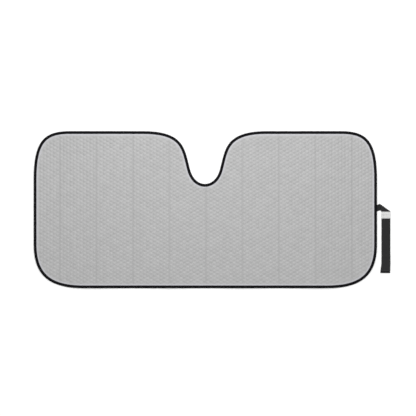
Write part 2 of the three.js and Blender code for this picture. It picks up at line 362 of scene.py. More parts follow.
foil = foilMaterial()
tapeCloth = clothMaterial("black binding tape", (0.004, 0.004, 0.005), (1.1, 1.1), 0.8, gloss=0.08)
webbing = clothMaterial("black webbing", (0.021, 0.021, 0.022), (1.4, 1.1), 0.85, shaded=True)
patchCloth = clothMaterial("pale patch cloth", (0.66, 0.66, 0.66), (0.9, 0.9), 0.8, shaded=True)
pileCloth = clothMaterial("black pile", (0.020, 0.020, 0.022), (0.8, 0.8), 0.95)
blackThread = newMaterial("black thread", 0.55, colour=(0.006, 0.006, 0.007), gloss=0.15)[0]
paleThread = newMaterial("pale thread", 0.6, colour=(0.78, 0.78, 0.76))[0]
hookPlastic = newMaterial("pale hooks", 0.4, colour=(0.80, 0.80, 0.78))[0]
print("materials")


# Foil sheet: two films over a close lattice of bubbles, crushed flat at the rim and pressed at the folds

sheetShape = {
    "middle": 1.9 * mm, "seamHalf": 1.0 * mm, "webFront": 2.75 * mm, "webBack": 0.25 * mm,
    "edge": 2.5 * mm, "edgeRound": 2.5 * mm, "seam": 10.3 * mm, "full": 16.3 * mm,
    "rimStart": 14.5 * mm, "rimWidth": 3 * mm, "rimLine": 6 * mm, "rimGap": 2.5 * mm,
    "frontGroove": 1.3 * mm, "backGroove": 0.8 * mm, "foldReach": 4.2 * mm, "foldFade": 6 * mm,
    "ripple": 0.3 * mm, "rippleFade": 1.5 * mm,
}
bubbles = {
    "perLeaf": 11, "radius": 5.75 * mm, "shoulder": 3.9 * mm, "shoulderRise": 0.64,
    "rise": 1.55 * mm, "backBulge": 0.25 * mm, "lowest": 0.82, "highest": 1.08, "rimHeight": 0.4,
    "foldHeight": 0.8, "margin": 16.5 * mm, "rimFade": 7 * mm, "seed": 7,
}
columnSpacing = lie["leafWidth"] / bubbles["perLeaf"]
pitch = columnSpacing / math.cos(math.pi / 6)


def hexagon():
    turns = np.arange(6) * math.pi / 3
    return np.stack([np.cos(turns), np.sin(turns), 0 * turns], 1) * pitch / math.sqrt(3)


def circle(radius, count, z):
    turns = np.arange(count) * 2 * math.pi / count
    return np.stack([radius * np.cos(turns), radius * np.sin(turns), 0 * turns + z], 1)


# hexagon, round foot of the bubble, shoulder and crown
def bubbleCell():
    vertices = np.vstack([
        hexagon(), circle(bubbles["radius"], 12, 0),
        circle(bubbles["shoulder"], 6, bubbles["rise"] * bubbles["shoulderRise"]), [[0, 0, bubbles["rise"]]],
    ])
    faces = []
    for i in range(6):
        outer, nextOuter = i, (i + 1) % 6
        foot, middle, nextFoot = 6 + 2 * i, 7 + 2 * i, 6 + (2 * i + 2) % 12
        inner, nextInner = 18 + i, 18 + (i + 1) % 6
        faces += [(outer, nextOuter, middle), (outer, middle, foot), (nextOuter, nextFoot, middle)]
        faces += [(foot, middle, inner), (middle, nextFoot, nextInner), (middle, nextInner, inner)]
        faces.append((inner, nextInner, 24))
    return meshOf("bubbleCell", vertices, faces)


def plainCell(centreHeight):
    vertices = np.vstack([hexagon(), [[0, 0, centreHeight]]])
    return meshOf("plainCell", vertices, [(i, (i + 1) % 6, 6) for i in range(6)])


def latticeTree():
    tree, given = geometryTree("bubble lattice", {
        "Outline": "Object", "Cell": "Object", "Centre": "Vector",
        "Column Spacing": "Float", "Pitch": "Float", "Columns": "Int", "Rows": "Int",
        "Fold Every": "Int", "Fold Height": "Float",
        "Margin": "Float", "Rim Fade": "Float", "Rim Height": "Float",
        "Lowest": "Float", "Highest": "Float", "Seed": "Int", "Material": "Material",
    })
    spans = [maths(tree, "MULTIPLY", maths(tree, "SUBTRACT", given[count], 1.0), given[step])
             for count, step in (("Columns", "Column Spacing"), ("Rows", "Pitch"))]
    grid = addNode(tree, "GeometryNodeMeshGrid", {
        "Size X": spans[0], "Size Y": spans[1], "Vertices X": given["Columns"], "Vertices Y": given["Rows"],
    })
    place = addNode(tree, "ShaderNodeSeparateXYZ", {0: addNode(tree, "GeometryNodeInputPosition").outputs[0]})
    column = maths(tree, "FLOOR", maths(tree, "DIVIDE", place.outputs[0], given["Column Spacing"]))
    numbered = addNode(tree, "GeometryNodeStoreNamedAttribute", {
        "Geometry": grid.outputs["Mesh"], "Name": "column", "Value": column,
    }, data_type="FLOAT", domain="POINT")
    named = addNode(tree, "GeometryNodeInputNamedAttribute", {"Name": "column"}, data_type="FLOAT")
    number = named.outputs["Attribute"]
    odd = maths(tree, "FLOORED_MODULO", number, 2.0)
    down = maths(tree, "MULTIPLY", maths(tree, "MULTIPLY", odd, given["Pitch"]), 0.5)
    shift = addNode(tree, "ShaderNodeVectorMath", {
        0: addNode(tree, "ShaderNodeCombineXYZ", {1: down}).outputs[0], 1: given["Centre"],
    }, operation="ADD")
    moved = addNode(tree, "GeometryNodeSetPosition", {
        "Geometry": numbered.outputs[0], "Offset": shift.outputs[0],
    })

    shape = addNode(tree, "GeometryNodeObjectInfo", {"Object": given["Outline"]}).outputs["Geometry"]
    above = addNode(tree, "ShaderNodeVectorMath", {
        0: addNode(tree, "GeometryNodeInputPosition").outputs[0], 1: (0.0, 0.0, 0.1),
    }, operation="ADD").outputs[0]
    ray = addNode(tree, "GeometryNodeRaycast", {
        "Target Geometry": shape, "Source Position": above,
        "Ray Direction": (0.0, 0.0, -1.0), "Ray Length": 1.0,
    })
    distance = addNode(tree, "GeometryNodeProximity", {0: shape}, target_element="EDGES").outputs["Distance"]
    far = maths(tree, "GREATER_THAN", distance, given["Margin"])
    outside = maths(tree, "LESS_THAN", maths(tree, "MULTIPLY", far, ray.outputs["Is Hit"]), 0.5)
    kept = addNode(tree, "GeometryNodeDeleteGeometry", {
        "Geometry": moved.outputs[0], "Selection": outside,
    }, domain="POINT")

    tint = addNode(tree, "FunctionNodeRandomValue", {"Seed": given["Seed"]}, data_type="FLOAT")
    tinted = addNode(tree, "GeometryNodeStoreNamedAttribute", {
        "Geometry": kept.outputs[0], "Name": "tint", "Value": tint.outputs[1],
    }, data_type="FLOAT", domain="POINT")
    height = addNode(tree, "FunctionNodeRandomValue", {
        2: given["Lowest"], 3: given["Highest"], "Seed": maths(tree, "ADD", given["Seed"], 1.0),
    }, data_type="FLOAT").outputs[1]
    inside = maths(tree, "SUBTRACT", distance, given["Margin"])
    past = maths(tree, "DIVIDE", inside, given["Rim Fade"], clamp=True)
    gain = maths(tree, "SUBTRACT", 1.0, given["Rim Height"])
    fade = maths(tree, "MULTIPLY_ADD", past, gain, given["Rim Height"])
    fromFold = maths(tree, "FLOORED_MODULO", maths(tree, "ADD", number, 1.0), given["Fold Every"])
    besideFold = maths(tree, "LESS_THAN", fromFold, 1.5)
    lost = maths(tree, "MULTIPLY", besideFold, maths(tree, "SUBTRACT", 1.0, given["Fold Height"]))
    faded = maths(tree, "MULTIPLY", height, fade)
    height = maths(tree, "MULTIPLY", faded, maths(tree, "SUBTRACT", 1.0, lost))
    scale = addNode(tree, "ShaderNodeCombineXYZ", {0: 1.0, 1: 1.0, 2: height}).outputs[0]
    tile = addNode(tree, "GeometryNodeObjectInfo", {"Object": given["Cell"]}).outputs["Geometry"]
    instances = addNode(tree, "GeometryNodeInstanceOnPoints", {
        "Points": tinted.outputs[0], "Instance": tile, "Scale": scale,
    })
    real = addNode(tree, "GeometryNodeRealizeInstances", {0: instances.outputs[0]})
    merged = addNode(tree, "GeometryNodeMergeByDistance", {"Geometry": real.outputs[0], "Distance": 0.1 * mm})
    finishTree(tree, merged, given["Material"])
    return tree


def latticeMesh(name, tree, cell):
    ring = [(x, y, 0) for x, y in outline]
    helpers = [
        place("outlineFace", meshOf("outlineFace", ring, [tuple(range(len(ring)))])),
        place("cell", cell),
    ]
    carrier = place("lattice", meshOf("lattice", [(0, 0, 0)], []))
    columns = 2 * int(halfLength / columnSpacing) + 4
    mesh = grownMesh(name, carrier, tree, {
        "Outline": helpers[0], "Cell": helpers[1], "Fold Height": bubbles["foldHeight"],
        "Centre": (foldX, 0.0, 0.0), "Column Spacing": columnSpacing, "Pitch": pitch,
        "Columns": columns, "Rows": 2 * int(topY / pitch) + 3, "Fold Every": bubbles["perLeaf"],
        "Margin": bubbles["margin"], "Rim Fade": bubbles["rimFade"], "Rim Height": bubbles["rimHeight"],
        "Lowest": bubbles["lowest"], "Highest": bubbles["highest"], "Seed": bubbles["seed"], "Material": foil,
    })
    for helper in helpers:
        bpy.data.objects.remove(helper)
    return mesh


# closed loops of vertex numbers round a mesh's open border, with the mesh on the left
def borderLoops(triangles):
    directed = {}
    for a, b, c in triangles:
        for edge in ((a, b), (b, c), (c, a)):
            directed[edge] = True
    following = {a: b for a, b in directed if (b, a) not in directed}
    loops = []
    while following:
        start = next(iter(following))
        loop = [start]
        while loop[-1] in following:
            loop.append(following.pop(loop[-1]))
        loops.append(loop[:-1])
    return loops


# height of a film above the ground: crushed at the seam, then out to its place between the bubbles
def filmHeight(distance, side, web):
    s = sheetShape
    crushed = s["middle"] + side * s["seamHalf"] * smooth((distance - s["edge"]) / s["edgeRound"])
    rest = web - s["middle"] - side * s["seamHalf"]
    return crushed + rest * smooth((distance - s["seam"]) / (s["full"] - s["seam"]))


def nearestFold(x):
    return np.abs((x - foldX + lie["leafWidth"] / 2) % lie["leafWidth"] - lie["leafWidth"] / 2)


# slow waves in the film: radians a metre along X, radians a metre along Y, and the angle each starts at
rippleWaves = ((31, 17, 1.3), (-23, 41, 0.4), (57, -9, 2.2))


def rippleAt(points):
    x, y = points[:, 0], points[:, 1]
    waves = [np.sin(alongX * x + alongY * y + phase) for alongX, alongY, phase in rippleWaves]
    return sheetShape["ripple"] * sum(waves) / len(waves) * smooth(sheetLift(x) / sheetShape["rippleFade"])


def foilSkin():
    s = sheetShape
    tree = latticeTree()
    front = latticeMesh("frontFilm", tree, bubbleCell())
    back = latticeMesh("backFilm", tree, plainCell(-bubbles["backBulge"]))
    frontPoints, frontFaces = positionsOf(front), trianglesOf(front)
    backPoints, backFaces = positionsOf(back), trianglesOf(back)
    tints = np.empty(len(front.vertices))
    front.attributes["tint"].data.foreach_get("value", tints)
    print("lattice", len(frontFaces), "front and", len(backFaces), "back triangles")

    # the flat rim between the lattice and the edge of the film
    loops = borderLoops(frontFaces)
    latticeLoops = [frontPoints[loop, :2] for loop in loops]
    edgeLoop = insetOutline(s["edge"], 2)
    between = np.vstack([insetOutline(distance, 3) for distance in (s["rimLine"], s["seam"])])
    clear = ~insideOf(between, latticeLoops)
    corners = np.vstack(latticeLoops)
    gap = np.hypot(*(corners[None] - between[:, None]).transpose(2, 0, 1)).min(1)
    between = between[clear & (gap > s["rimGap"])]
    flat = np.vstack([edgeLoop, corners, between])
    edges, start = [], 0
    for size in [len(edgeLoop)] + [len(loop) for loop in loops]:
        edges += [(start + i, start + (i + 1) % size) for i in range(size)]
        start += size
    found = delaunay_2d_cdt([Vector(p) for p in flat], edges, [], 0, 1e-7)
    rimPoints = np.array([tuple(v) for v in found[0]])
    source = [ids[0] if ids else -1 for ids in found[3]]
    rimFaces = np.array([face for face in found[2]])
    centres = rimPoints[rimFaces].mean(1)
    rimFaces = rimFaces[insideOf(centres, [edgeLoop]) & ~insideOf(centres, latticeLoops)]
    assert len(rimPoints) == len(flat) and min(source) >= 0, "the rim gained points"

    # one numbering: front film, back film, edge line, then the rim's front and back points
    frontLoop = np.concatenate(loops)
    cellSize = 0.5 * mm
    backAt = {tuple(np.round(p[:2] / cellSize).astype(int)): i for i, p in enumerate(backPoints)}

    def backTwin(point):
        cell = np.round(point[:2] / cellSize).astype(int)
        near = [backAt[(cell[0] + i, cell[1] + j)] for i in (-1, 0, 1) for j in (-1, 0, 1)
                if (cell[0] + i, cell[1] + j) in backAt]
        return min(near, key=lambda i: np.hypot(*(backPoints[i, :2] - point[:2])))

    backLoop = np.array([backTwin(frontPoints[i]) for i in frontLoop])
    sizes = [len(frontPoints), len(backPoints), len(edgeLoop), len(between), len(between)]
    starts = np.concatenate([[0], np.cumsum(sizes)])
    edgeLine, frontRim, backRim = (starts[k] + np.arange(sizes[k]) for k in (2, 3, 4))
    onFront = np.concatenate([edgeLine, frontLoop, frontRim])
    onBack = np.concatenate([edgeLine, starts[1] + backLoop, backRim])
    source = np.array(source)
    faces = np.vstack([
        frontFaces, onFront[source[rimFaces]],
        starts[1] + backFaces[:, ::-1], onBack[source[rimFaces]][:, ::-1],
    ])
    flatPoints = np.vstack([frontPoints[:, :2], backPoints[:, :2], edgeLoop, between, between])
    local = np.concatenate([frontPoints[:, 2], backPoints[:, 2], np.zeros(starts[5] - starts[2])])
    isBack = np.zeros(len(flatPoints), bool)
    isBack[starts[1]:starts[2]] = True
    isBack[starts[4]:] = True

    distance = edgeDistance(flatPoints)
    foldGap = nearestFold(flatPoints[:, 0])
    pressed = np.clip(1 - foldGap / s["foldReach"], 0, 1) * smooth((distance - s["seam"]) / s["foldFade"])
    z = np.where(
        isBack,
        filmHeight(distance, -1, s["webBack"]) + pressed * s["backGroove"],
        filmHeight(distance, 1, s["webFront"]) - pressed * s["frontGroove"],
    )
    z += local + sheetLift(flatPoints[:, 0]) + rippleAt(flatPoints)
    mesh = meshOf("foilSheet", np.column_stack([flatPoints, z]), faces)
    tint = np.full(len(flatPoints), 0.5)
    tint[:starts[1]] = tints
    addFloats(mesh, "tint", tint)
    # the rim mask fades in that painted highlight along the crushed film by the tape
    addFloats(mesh, "rim", 1 - smooth((distance - s["rimStart"]) / s["rimWidth"]))
    # the fold mask lays painted shade along the pressed fold grooves
    addFloats(mesh, "fold", pressed)
    return mesh


foilSheet = place("foilSheet", foilSkin(), foil)
print("foil sheet", len(foilSheet.data.polygons), "triangles")


# Edge tape: a woven binding folded over the film's edge, held by one seam through both its sides

tapeShape = {
    "thickness": 0.6 * mm, "cover": 10.6 * mm, "height": 3.8 * mm, "noseSteps": 7,
    "seamInset": 8.1 * mm, "beforeSeam": 2 * mm, "pastSeam": 1 * mm, "lip": 0.12 * mm,
    "seamDip": 0.22 * mm, "dipReach": 1.2 * mm, "freeStart": 4 * mm, "pucker": 0.09 * mm, "waver": 0.06 * mm,
    "waveLengths": (4.1 * mm, 37 * mm, 9.7 * mm),
}


def tapeSection():
    t = tapeShape
    middle = t["height"] / 2

    def nose(radius):
        turns = np.linspace(-0.5, 0.5, t["noseSteps"]) * math.pi
        return [(middle - radius * math.cos(a), middle + radius * math.sin(a)) for a in turns]

    inner = middle - t["thickness"]
    across = [t["seamInset"] - t["beforeSeam"], t["seamInset"], t["seamInset"] + t["pastSeam"]]
    lower = [(d, 0) for d in across]
    upper = [(d, t["height"]) for d in across]
    under = [(d, z - t["thickness"]) for d, z in upper[::-1]]
    over = [(d, z + t["thickness"]) for d, z in lower]
    upperEnd = [(t["cover"], t["height"] - t["lip"]), (t["cover"], t["height"] - t["thickness"])]
    outside = [(t["cover"], t["lip"])] + lower[::-1] + nose(middle) + upper
    return outside + upperEnd + under + nose(inner)[::-1] + over + [(t["cover"], t["thickness"])]


def edgeTapeMesh():
    t = tapeShape
    along = np.arange(len(outline)) * outlineShape["spacing"]
    short, slow, middling = t["waveLengths"]
    waver = np.sin(along / short + 2 * np.sin(along / slow)) + 0.7 * np.sin(along / middling)
    rings = []
    for distance, z in tapeSection():
        near = math.exp(-((distance - t["seamInset"]) / t["dipReach"]) ** 2)
        side = 1 if z > t["height"] / 2 else -1
        free = smooth(np.array((distance - t["freeStart"]) / t["freeStart"]))
        sink = near * t["seamDip"] + t["pucker"] * free * (0.5 + 0.3 * waver)
        flat = outline + inwards * (distance + t["waver"] * waver * free)[:, None]
        height = z - side * sink + sheetLift(flat[:, 0])
        rings.append(np.column_stack([flat, height]))
    vertices, faces = skinned(rings, True)
    mesh = meshOf("edgeTape", vertices, faces)
    ringUv = np.cumsum([0] + [math.dist(a, b) for a, b in zip(tapeSection(), tapeSection()[1:])]) / mm
    addUv(mesh, np.column_stack([np.tile(along / mm, len(ringUv)), np.repeat(ringUv, len(along))]))
    return mesh


edgeTape = place("edgeTape", edgeTapeMesh(), tapeCloth)
print("edge tape", len(edgeTape.data.polygons), "faces")


# Sewing threads: short stitches set end to end along a line

stitchShape = {"sides": 5, "sink": 0.5, "rings": ((-0.5, 0.35), (-0.3, 0.95), (0.3, 0.95), (0.5, 0.35))}
tapeStitch = {"spacing": 4 * mm, "length": 3.5 * mm, "radius": 0.26 * mm, "lift": 0.1 * mm}
patchStitch = {"spacing": 2.6 * mm, "length": 2.2 * mm, "radius": 0.24 * mm, "lift": 0.05 * mm}
strapStitch = {"spacing": 2.6 * mm, "length": 2.2 * mm, "radius": 0.24 * mm, "lift": 0.02 * mm}
hemStitch = {"spacing": 2.8 * mm, "length": 2.4 * mm, "radius": 0.24 * mm, "lift": 0.02 * mm}


# one stitch along X, one unit long and two thick, its ends sinking into the cloth
def stitchMesh():
    count = stitchShape["sides"]
    turns = np.arange(count) * 2 * math.pi / count
    rings = []
    for x, thick in stitchShape["rings"]:
        sunk = stitchShape["sink"] * (2 * abs(x)) ** 3
        rings.append([(x, thick * math.cos(a), thick * math.sin(a) - sunk) for a in turns])
    return meshOf("stitch", *skinned(rings, False))


def stitchTree():
    tree, given = geometryTree("stitches", {
        "Geometry": "Geometry", "Stitch": "Object", "Spacing": "Float", "Length": "Float", "Radius": "Float",
        "Up": "Vector", "Skew": "Float", "Seed": "Int", "Material": "Material",
    })
    curve = addNode(tree, "GeometryNodeMeshToCurve", {0: given["Geometry"]})
    points = addNode(tree, "GeometryNodeCurveToPoints", {
        "Curve": curve.outputs[0], "Length": given["Spacing"],
    }, mode="LENGTH")
    along = addNode(tree, "FunctionNodeAlignRotationToVector", {
        "Vector": points.outputs["Tangent"],
    }, axis="X")
    upright = addNode(tree, "FunctionNodeAlignRotationToVector", {
        "Rotation": along.outputs[0], "Vector": given["Up"],
    }, axis="Z", pivot_axis="X")
    wander = addNode(tree, "FunctionNodeRandomValue", {
        2: maths(tree, "MULTIPLY", given["Skew"], -1.0), 3: given["Skew"], "Seed": given["Seed"],
    }, data_type="FLOAT").outputs[1]
    skew = addNode(tree, "FunctionNodeAxisAngleToRotation", {"Axis": (0.0, 0.0, 1.0), "Angle": wander})
    turned = addNode(tree, "FunctionNodeRotateRotation", {
        0: upright.outputs[0], 1: skew.outputs[0],
    }, rotation_space="LOCAL")
    size = addNode(tree, "ShaderNodeCombineXYZ", {0: given["Length"], 1: given["Radius"], 2: given["Radius"]})
    tile = addNode(tree, "GeometryNodeObjectInfo", {"Object": given["Stitch"]}).outputs["Geometry"]
    instances = addNode(tree, "GeometryNodeInstanceOnPoints", {
        "Points": points.outputs["Points"], "Instance": tile,
        "Rotation": turned.outputs[0], "Scale": size.outputs[0],
    })
    real = addNode(tree, "GeometryNodeRealizeInstances", {0: instances.outputs[0]})
    finishTree(tree, real, given["Material"])
    return tree


seamTree = stitchTree()


# stitches along several lines of 3-D points; a closed line ends where it starts
def stitchesAlong(name, lines, material, stitch, seed, up=1):
    points, edges, start = [], [], 0
    for line, closed in lines:
        size = len(line)
        points.append(np.asarray(line))
        edges += [(start + i, start + (i + 1) % size) for i in range(size if closed else size - 1)]
        start += size
    helper = place("stitch", stitchMesh())
    carrier = place("seamLine", meshOf("seamLine", np.vstack(points), [], edges))
    mesh = grownMesh(name, carrier, seamTree, {
        "Stitch": helper,
        "Spacing": stitch["spacing"], "Length": stitch["length"], "Radius": stitch["radius"],
        "Up": (0.0, 0.0, float(up)), "Skew": 0.05, "Seed": seed, "Material": material,
    })
    bpy.data.objects.remove(helper)
    return place(name, mesh, material)


def tapeSeam(side):
    t = tapeShape
    flat = insetOutline(t["seamInset"])
    surface = t["height"] / 2 + side * (t["height"] / 2 - t["seamDip"] - t["pucker"] / 2 + tapeStitch["lift"])
    return [(np.column_stack([flat, surface + sheetLift(flat[:, 0])]), True)]


tapeThreadFront = stitchesAlong("tapeThreadFront", tapeSeam(1), blackThread, tapeStitch, 11)
tapeThreadBack = stitchesAlong("tapeThreadBack", tapeSeam(-1), blackThread, tapeStitch, 12, up=-1)
print("tape threads", len(tapeThreadFront.data.polygons), "faces each")


# Closing strap: ribbed webbing sewn under the tape, folded over on itself and laid along the edge

strapShape = {
    "width": 34.2 * mm, "thickness": 1.4 * mm, "clear": 16.9 * mm, "seat": 0.3 * mm,
    "rootWidth": 24.5 * mm, "rootY": 5.5 * mm, "rootTuck": 8.5 * mm, "rootSteps": 13,
    "foldAngle": 35, "foldEndY": -6 * mm, "foldCorner": 10 * mm, "foldRadius": 0.95 * mm, "foldSteps": 13,
    "squareSteps": 10, "rowSpacing": 2.2 * mm, "rampLength": 38 * mm,
    "tipY": -240 * mm, "tipLean": 4 * mm, "tipLeanStart": 42 * mm,
    "hem": 8 * mm, "hemStep": 0.8 * mm, "hemRows": (0, 0.15, 0.85, 1), "hemEndHeight": 0.86,
    "hemSeam": 1.8 * mm,
    "ribs": 26, "ribHeight": 0.14 * mm, "ribMargin": 2.6 * mm, "across": 104,
    # the hem line shade lightens a strip along the hem's raised edge: a painted highlight
    # the rib shade darkens the grooves between the ribs: painted shade
    "ribValleyShade": 0.35, "edgeShade": 0.62, "hemShade": 0.5, "hemStepHighlight": 1.9, "hemHighlightWidth": 3 * mm,
    "flatLength": 0.29,
}
hookShape = {"top": 2 * mm, "length": 25 * mm, "thickness": 1.2 * mm, "bands": 4, "banding": 0.2}
loopShape = {"length": 48 * mm, "thickness": 1.2 * mm, "hemGap": 3 * mm, "ramp": 14 * mm}
patchBand = {"ribs": 1, "ribHeight": 0, "ribMargin": 0, "across": 24}
edgeX = shadeX + halfLength
bandNear = edgeX + strapShape["clear"]
bandFar = bandNear + strapShape["width"]
strapFloor = strapShape["thickness"] / 2
overlapZ = strapFloor + 2 * strapShape["foldRadius"]
hemTop = strapShape["tipY"] + strapShape["hem"]
loopLow = hemTop + loopShape["hemGap"]
loopHigh = loopLow + loopShape["length"]
hookTop = strapShape["foldEndY"] - hookShape["top"]
upwards = np.array([0, 0, 1.0])


# a row across the laid part of the strap at a height y: its left and right ends, outward side and thickness
def bandRow(y):
    s = strapShape
    lean = smooth((s["tipY"] + s["tipLeanStart"] - y) / s["tipLeanStart"])
    fallen = smooth((s["foldEndY"] - y) / s["rampLength"])
    raised = smooth((loopHigh + loopShape["ramp"] - y) / loopShape["ramp"])
    z = strapFloor + (overlapZ - strapFloor) * (1 - fallen) + (loopShape["thickness"] + s["seat"]) * raised
    left = np.array([bandNear - s["tipLean"] * lean, y, z])
    right = np.array([bandFar - s["tipLean"] / 4 * lean, y, z])
    return left, right, upwards, s["thickness"]


def strapRows():
    s = strapShape
    angle = math.radians(s["foldAngle"])
    foldLine = np.array([math.cos(angle), -math.sin(angle), 0])
    foldOut = np.array([-foldLine[1], foldLine[0], 0])
    foldFar = np.array([bandFar, s["foldEndY"], strapFloor])
    foldNear = foldFar - foldLine * (bandFar - edgeX - s["foldCorner"]) / foldLine[0]
    inset = foldOut * (s["foldRadius"] + s["thickness"] / 2)
    foldFar, foldNear = foldFar - inset, foldNear - inset

    def rootRow(x):
        z = float(sheetLift(x)) - s["seat"] - s["thickness"] / 2
        half = s["rootWidth"] / 2
        return np.array([x, s["rootY"] + half, z]), np.array([x, s["rootY"] - half, z])

    rows = [(*rootRow(edgeX - s["rootTuck"]), -upwards, s["thickness"])]
    topEnd, lowEnd = rootRow(edgeX)
    pull = np.array([bandNear, lowEnd[1] + s["clear"] / 2, lowEnd[2]])
    for t in np.linspace(0, 1, s["rootSteps"]):
        low = (1 - t) ** 2 * lowEnd + 2 * t * (1 - t) * pull + t ** 2 * foldFar
        rows.append((topEnd + (foldNear - topEnd) * t, low, -upwards, s["thickness"]))
    for turn in np.linspace(-0.5, 0.5, s["foldSteps"])[1:-1] * math.pi:
        out = foldOut * math.cos(turn) + upwards * math.sin(turn)
        shift = out * s["foldRadius"] + upwards * s["foldRadius"]
        rows.append((foldNear + shift, foldFar + shift, out, s["thickness"]))
    square = bandRow(hookTop)
    foldEnds = [a * (1, 1, 0) + upwards * overlapZ for a in (foldNear, foldFar)]
    for t in np.arange(s["squareSteps"]) / s["squareSteps"]:
        near, far = (a + (b - a) * t for a, b in zip(foldEnds, square))
        rows.append((near, far, upwards, s["thickness"]))
    hemStart = hemTop + s["hemStep"]
    rows += [bandRow(y) for y in np.arange(hookTop, hemStart, -s["rowSpacing"])] + [bandRow(hemStart)]
    for share in s["hemRows"]:
        left, right = bandRow(hemTop - share * s["hem"])[:2]
        top = left[2] + s["thickness"] / 2
        if share == 1:
            top *= s["hemEndHeight"]
        low, high = (end * (1, 1, 0) + upwards * top / 2 for end in (left, right))
        rows.append((low, high, upwards, top))
    return rows


# how far in from its sides a band has its full thickness
bandRounding = 0.35 * mm + 1e-9


# a band from its rows, ribbed lengthwise on both faces, with a flat selvedge along each side
def bandMesh(name, rows, band, rowShade=1.0, edgeShade=1.0):
    ribs, ribHeight, across, selvedge = (band[key] for key in ("ribs", "ribHeight", "across", "ribMargin"))
    share = np.concatenate([[0], np.linspace(0.02, 0.98, across), [1]])
    loops = []
    for left, right, out, thickness in rows:
        width = np.linalg.norm(right - left)
        inward = np.minimum(share, 1 - share) * width
        half = thickness / 2 * np.clip(inward / bandRounding, 0, 1) ** 0.5
        rib = ribHeight * (0.5 + 0.5 * np.cos(2 * math.pi * ribs * share)) * (inward > selvedge)
        centre = left + (right - left) * share[:, None]
        lower = centre - out * (half - rib * (half > 0))[:, None]
        upper = centre + out * (half - rib * (half > 0))[:, None]
        loops.append(np.vstack([centre[:1], lower[1:-1], centre[-1:], upper[1:-1][::-1]]))
    vertices, faces = skinned(loops, False)
    mesh = meshOf(name, vertices, faces)
    middles = np.array([(row[0] + row[1]) / 2 for row in rows])
    run = np.r_[0, np.cumsum(np.linalg.norm(np.diff(middles, axis=0), axis=1))] / mm
    width = np.concatenate([share, share[1:-1][::-1]]) * strapShape["width"] / mm
    addUv(mesh, np.column_stack([np.repeat(run, len(width)), np.tile(width, len(run))]))
    fromEdge = np.minimum(width, width.max() - width) * mm
    acrossShade = np.ones(len(width))
    if selvedge:
        stops = [0.7 * selvedge, selvedge, 1.6 * selvedge, 2 * selvedge]
        acrossShade = np.interp(fromEdge, stops, [edgeShade, 2 - edgeShade, 2 - edgeShade, 1])
    # the grooves between the ribs are darkened by painted shade
    if ribHeight:
        ribValley = 0.5 + 0.5 * np.cos(2 * math.pi * ribs * width / width.max())
        acrossShade = acrossShade * (1 - strapShape["ribValleyShade"] * ribValley)
    addFloats(mesh, "shade", (np.broadcast_to(rowShade, len(rows))[:, None] * acrossShade).ravel())
    return mesh


# the hem is darker than the rest, with a painted highlight in a strip along its raised edge
def strapShade(rows):
    s = strapShape
    y = np.array([(row[0][1] + row[1][1]) / 2 for row in rows])
    # painted highlight where the hem's edge steps up
    line = np.where(y < hemTop + s["hemHighlightWidth"], s["hemStepHighlight"], 1)
    return np.where(y < hemTop + 0.1 * mm, s["hemShade"], line)


rowsOfStrap = strapRows()
strapMesh = bandMesh("closingStrap", rowsOfStrap, strapShape, strapShade(rowsOfStrap), strapShape["edgeShade"])
strap = place("closingStrap", strapMesh, webbing)
print("strap", len(strap.data.polygons), "faces")


# a patch on the strap between two heights on it; side is 1 on the upper face and -1 on the lower face
def patchRows(high, low, thickness, side, rowCount=24):
    rows = []
    for y in np.linspace(high, low, rowCount):
        left, right, out, _ = bandRow(y)
        shift = out * side * (strapShape["thickness"] / 2 + strapShape["seat"] / 2 + thickness / 2)
        rows.append((left + shift, right + shift, out, thickness))
    return rows


def patchPoint(y, share, lift):
    left, right = bandRow(y)[:2]
    return left + (right - left) * share + upwards * lift


hookRows = patchRows(hookTop, hookTop - hookShape["length"], hookShape["thickness"], 1)
bandTurns = 2 * math.pi * hookShape["bands"] * np.linspace(0, 1, len(hookRows))
rowsBright = 1 + hookShape["banding"] * np.cos(bandTurns)
hookPatch = place("hookPatch", bandMesh("hookPatch", hookRows, patchBand, rowsBright), patchCloth)
loopRows = patchRows(loopHigh, loopLow, loopShape["thickness"], -1)
loopPatch = place("loopPatch", bandMesh("loopPatch", loopRows, patchBand), pileCloth)


# Hooks of the hook patch, in rows across it

hookField = {
    "rows": 15, "perRow": 24, "edge": 2.4 * mm, "height": 0.9 * mm, "radius": 0.16 * mm, "sunk": 0.1 * mm,
    "bend": 0.35, "rings": 6, "curl": 0.85 * math.pi, "turnSpread": 0.5, "seed": 5,
}


def hookMesh():
    h = hookField
    across = np.array([0, 1.0, 0])
    centres = [np.array([0, 0, -h["sunk"]])]
    sides = [np.array([1.0, 0, 0])]
    for i in range(1, h["rings"]):
        turn = i / (h["rings"] - 1) * h["curl"]
        forward = h["height"] * h["bend"] * (1 - math.cos(turn))
        upward = h["height"] * (h["bend"] + (1 - h["bend"]) * math.sin(turn))
        centres.append(np.array([forward, 0, upward]))
        sides.append(np.array([math.cos(turn), 0, -math.sin(turn)]))
    corners = np.arange(4) * math.pi / 2
    rings = [[centre + h["radius"] * (side * math.cos(a) + across * math.sin(a)) for a in corners]
             for centre, side in zip(centres, sides)]
    return meshOf("hook", *skinned(rings, False))


def hookTree():
    tree, given = geometryTree("hook rows", {
        "Geometry": "Geometry", "Hook": "Object", "Turn Spread": "Float",
        "Seed": "Int", "Material": "Material",
    })
    leftTurn = maths(tree, "MULTIPLY", given["Turn Spread"], -1.0)
    turn = addNode(tree, "FunctionNodeRandomValue", {
        2: leftTurn, 3: given["Turn Spread"], "Seed": given["Seed"],
    }, data_type="FLOAT").outputs[1]
    rotation = addNode(tree, "ShaderNodeCombineXYZ", {2: turn})
    tile = addNode(tree, "GeometryNodeObjectInfo", {"Object": given["Hook"]}).outputs["Geometry"]
    instances = addNode(tree, "GeometryNodeInstanceOnPoints", {
        "Points": given["Geometry"], "Instance": tile, "Rotation": rotation.outputs[0],
    })
    real = addNode(tree, "GeometryNodeRealizeInstances", {0: instances.outputs[0]})
    finishTree(tree, real, given["Material"])
    return tree


hookSurface = strapShape["thickness"] / 2 + strapShape["seat"] / 2 + hookShape["thickness"]
hookLow = hookTop - hookShape["length"]


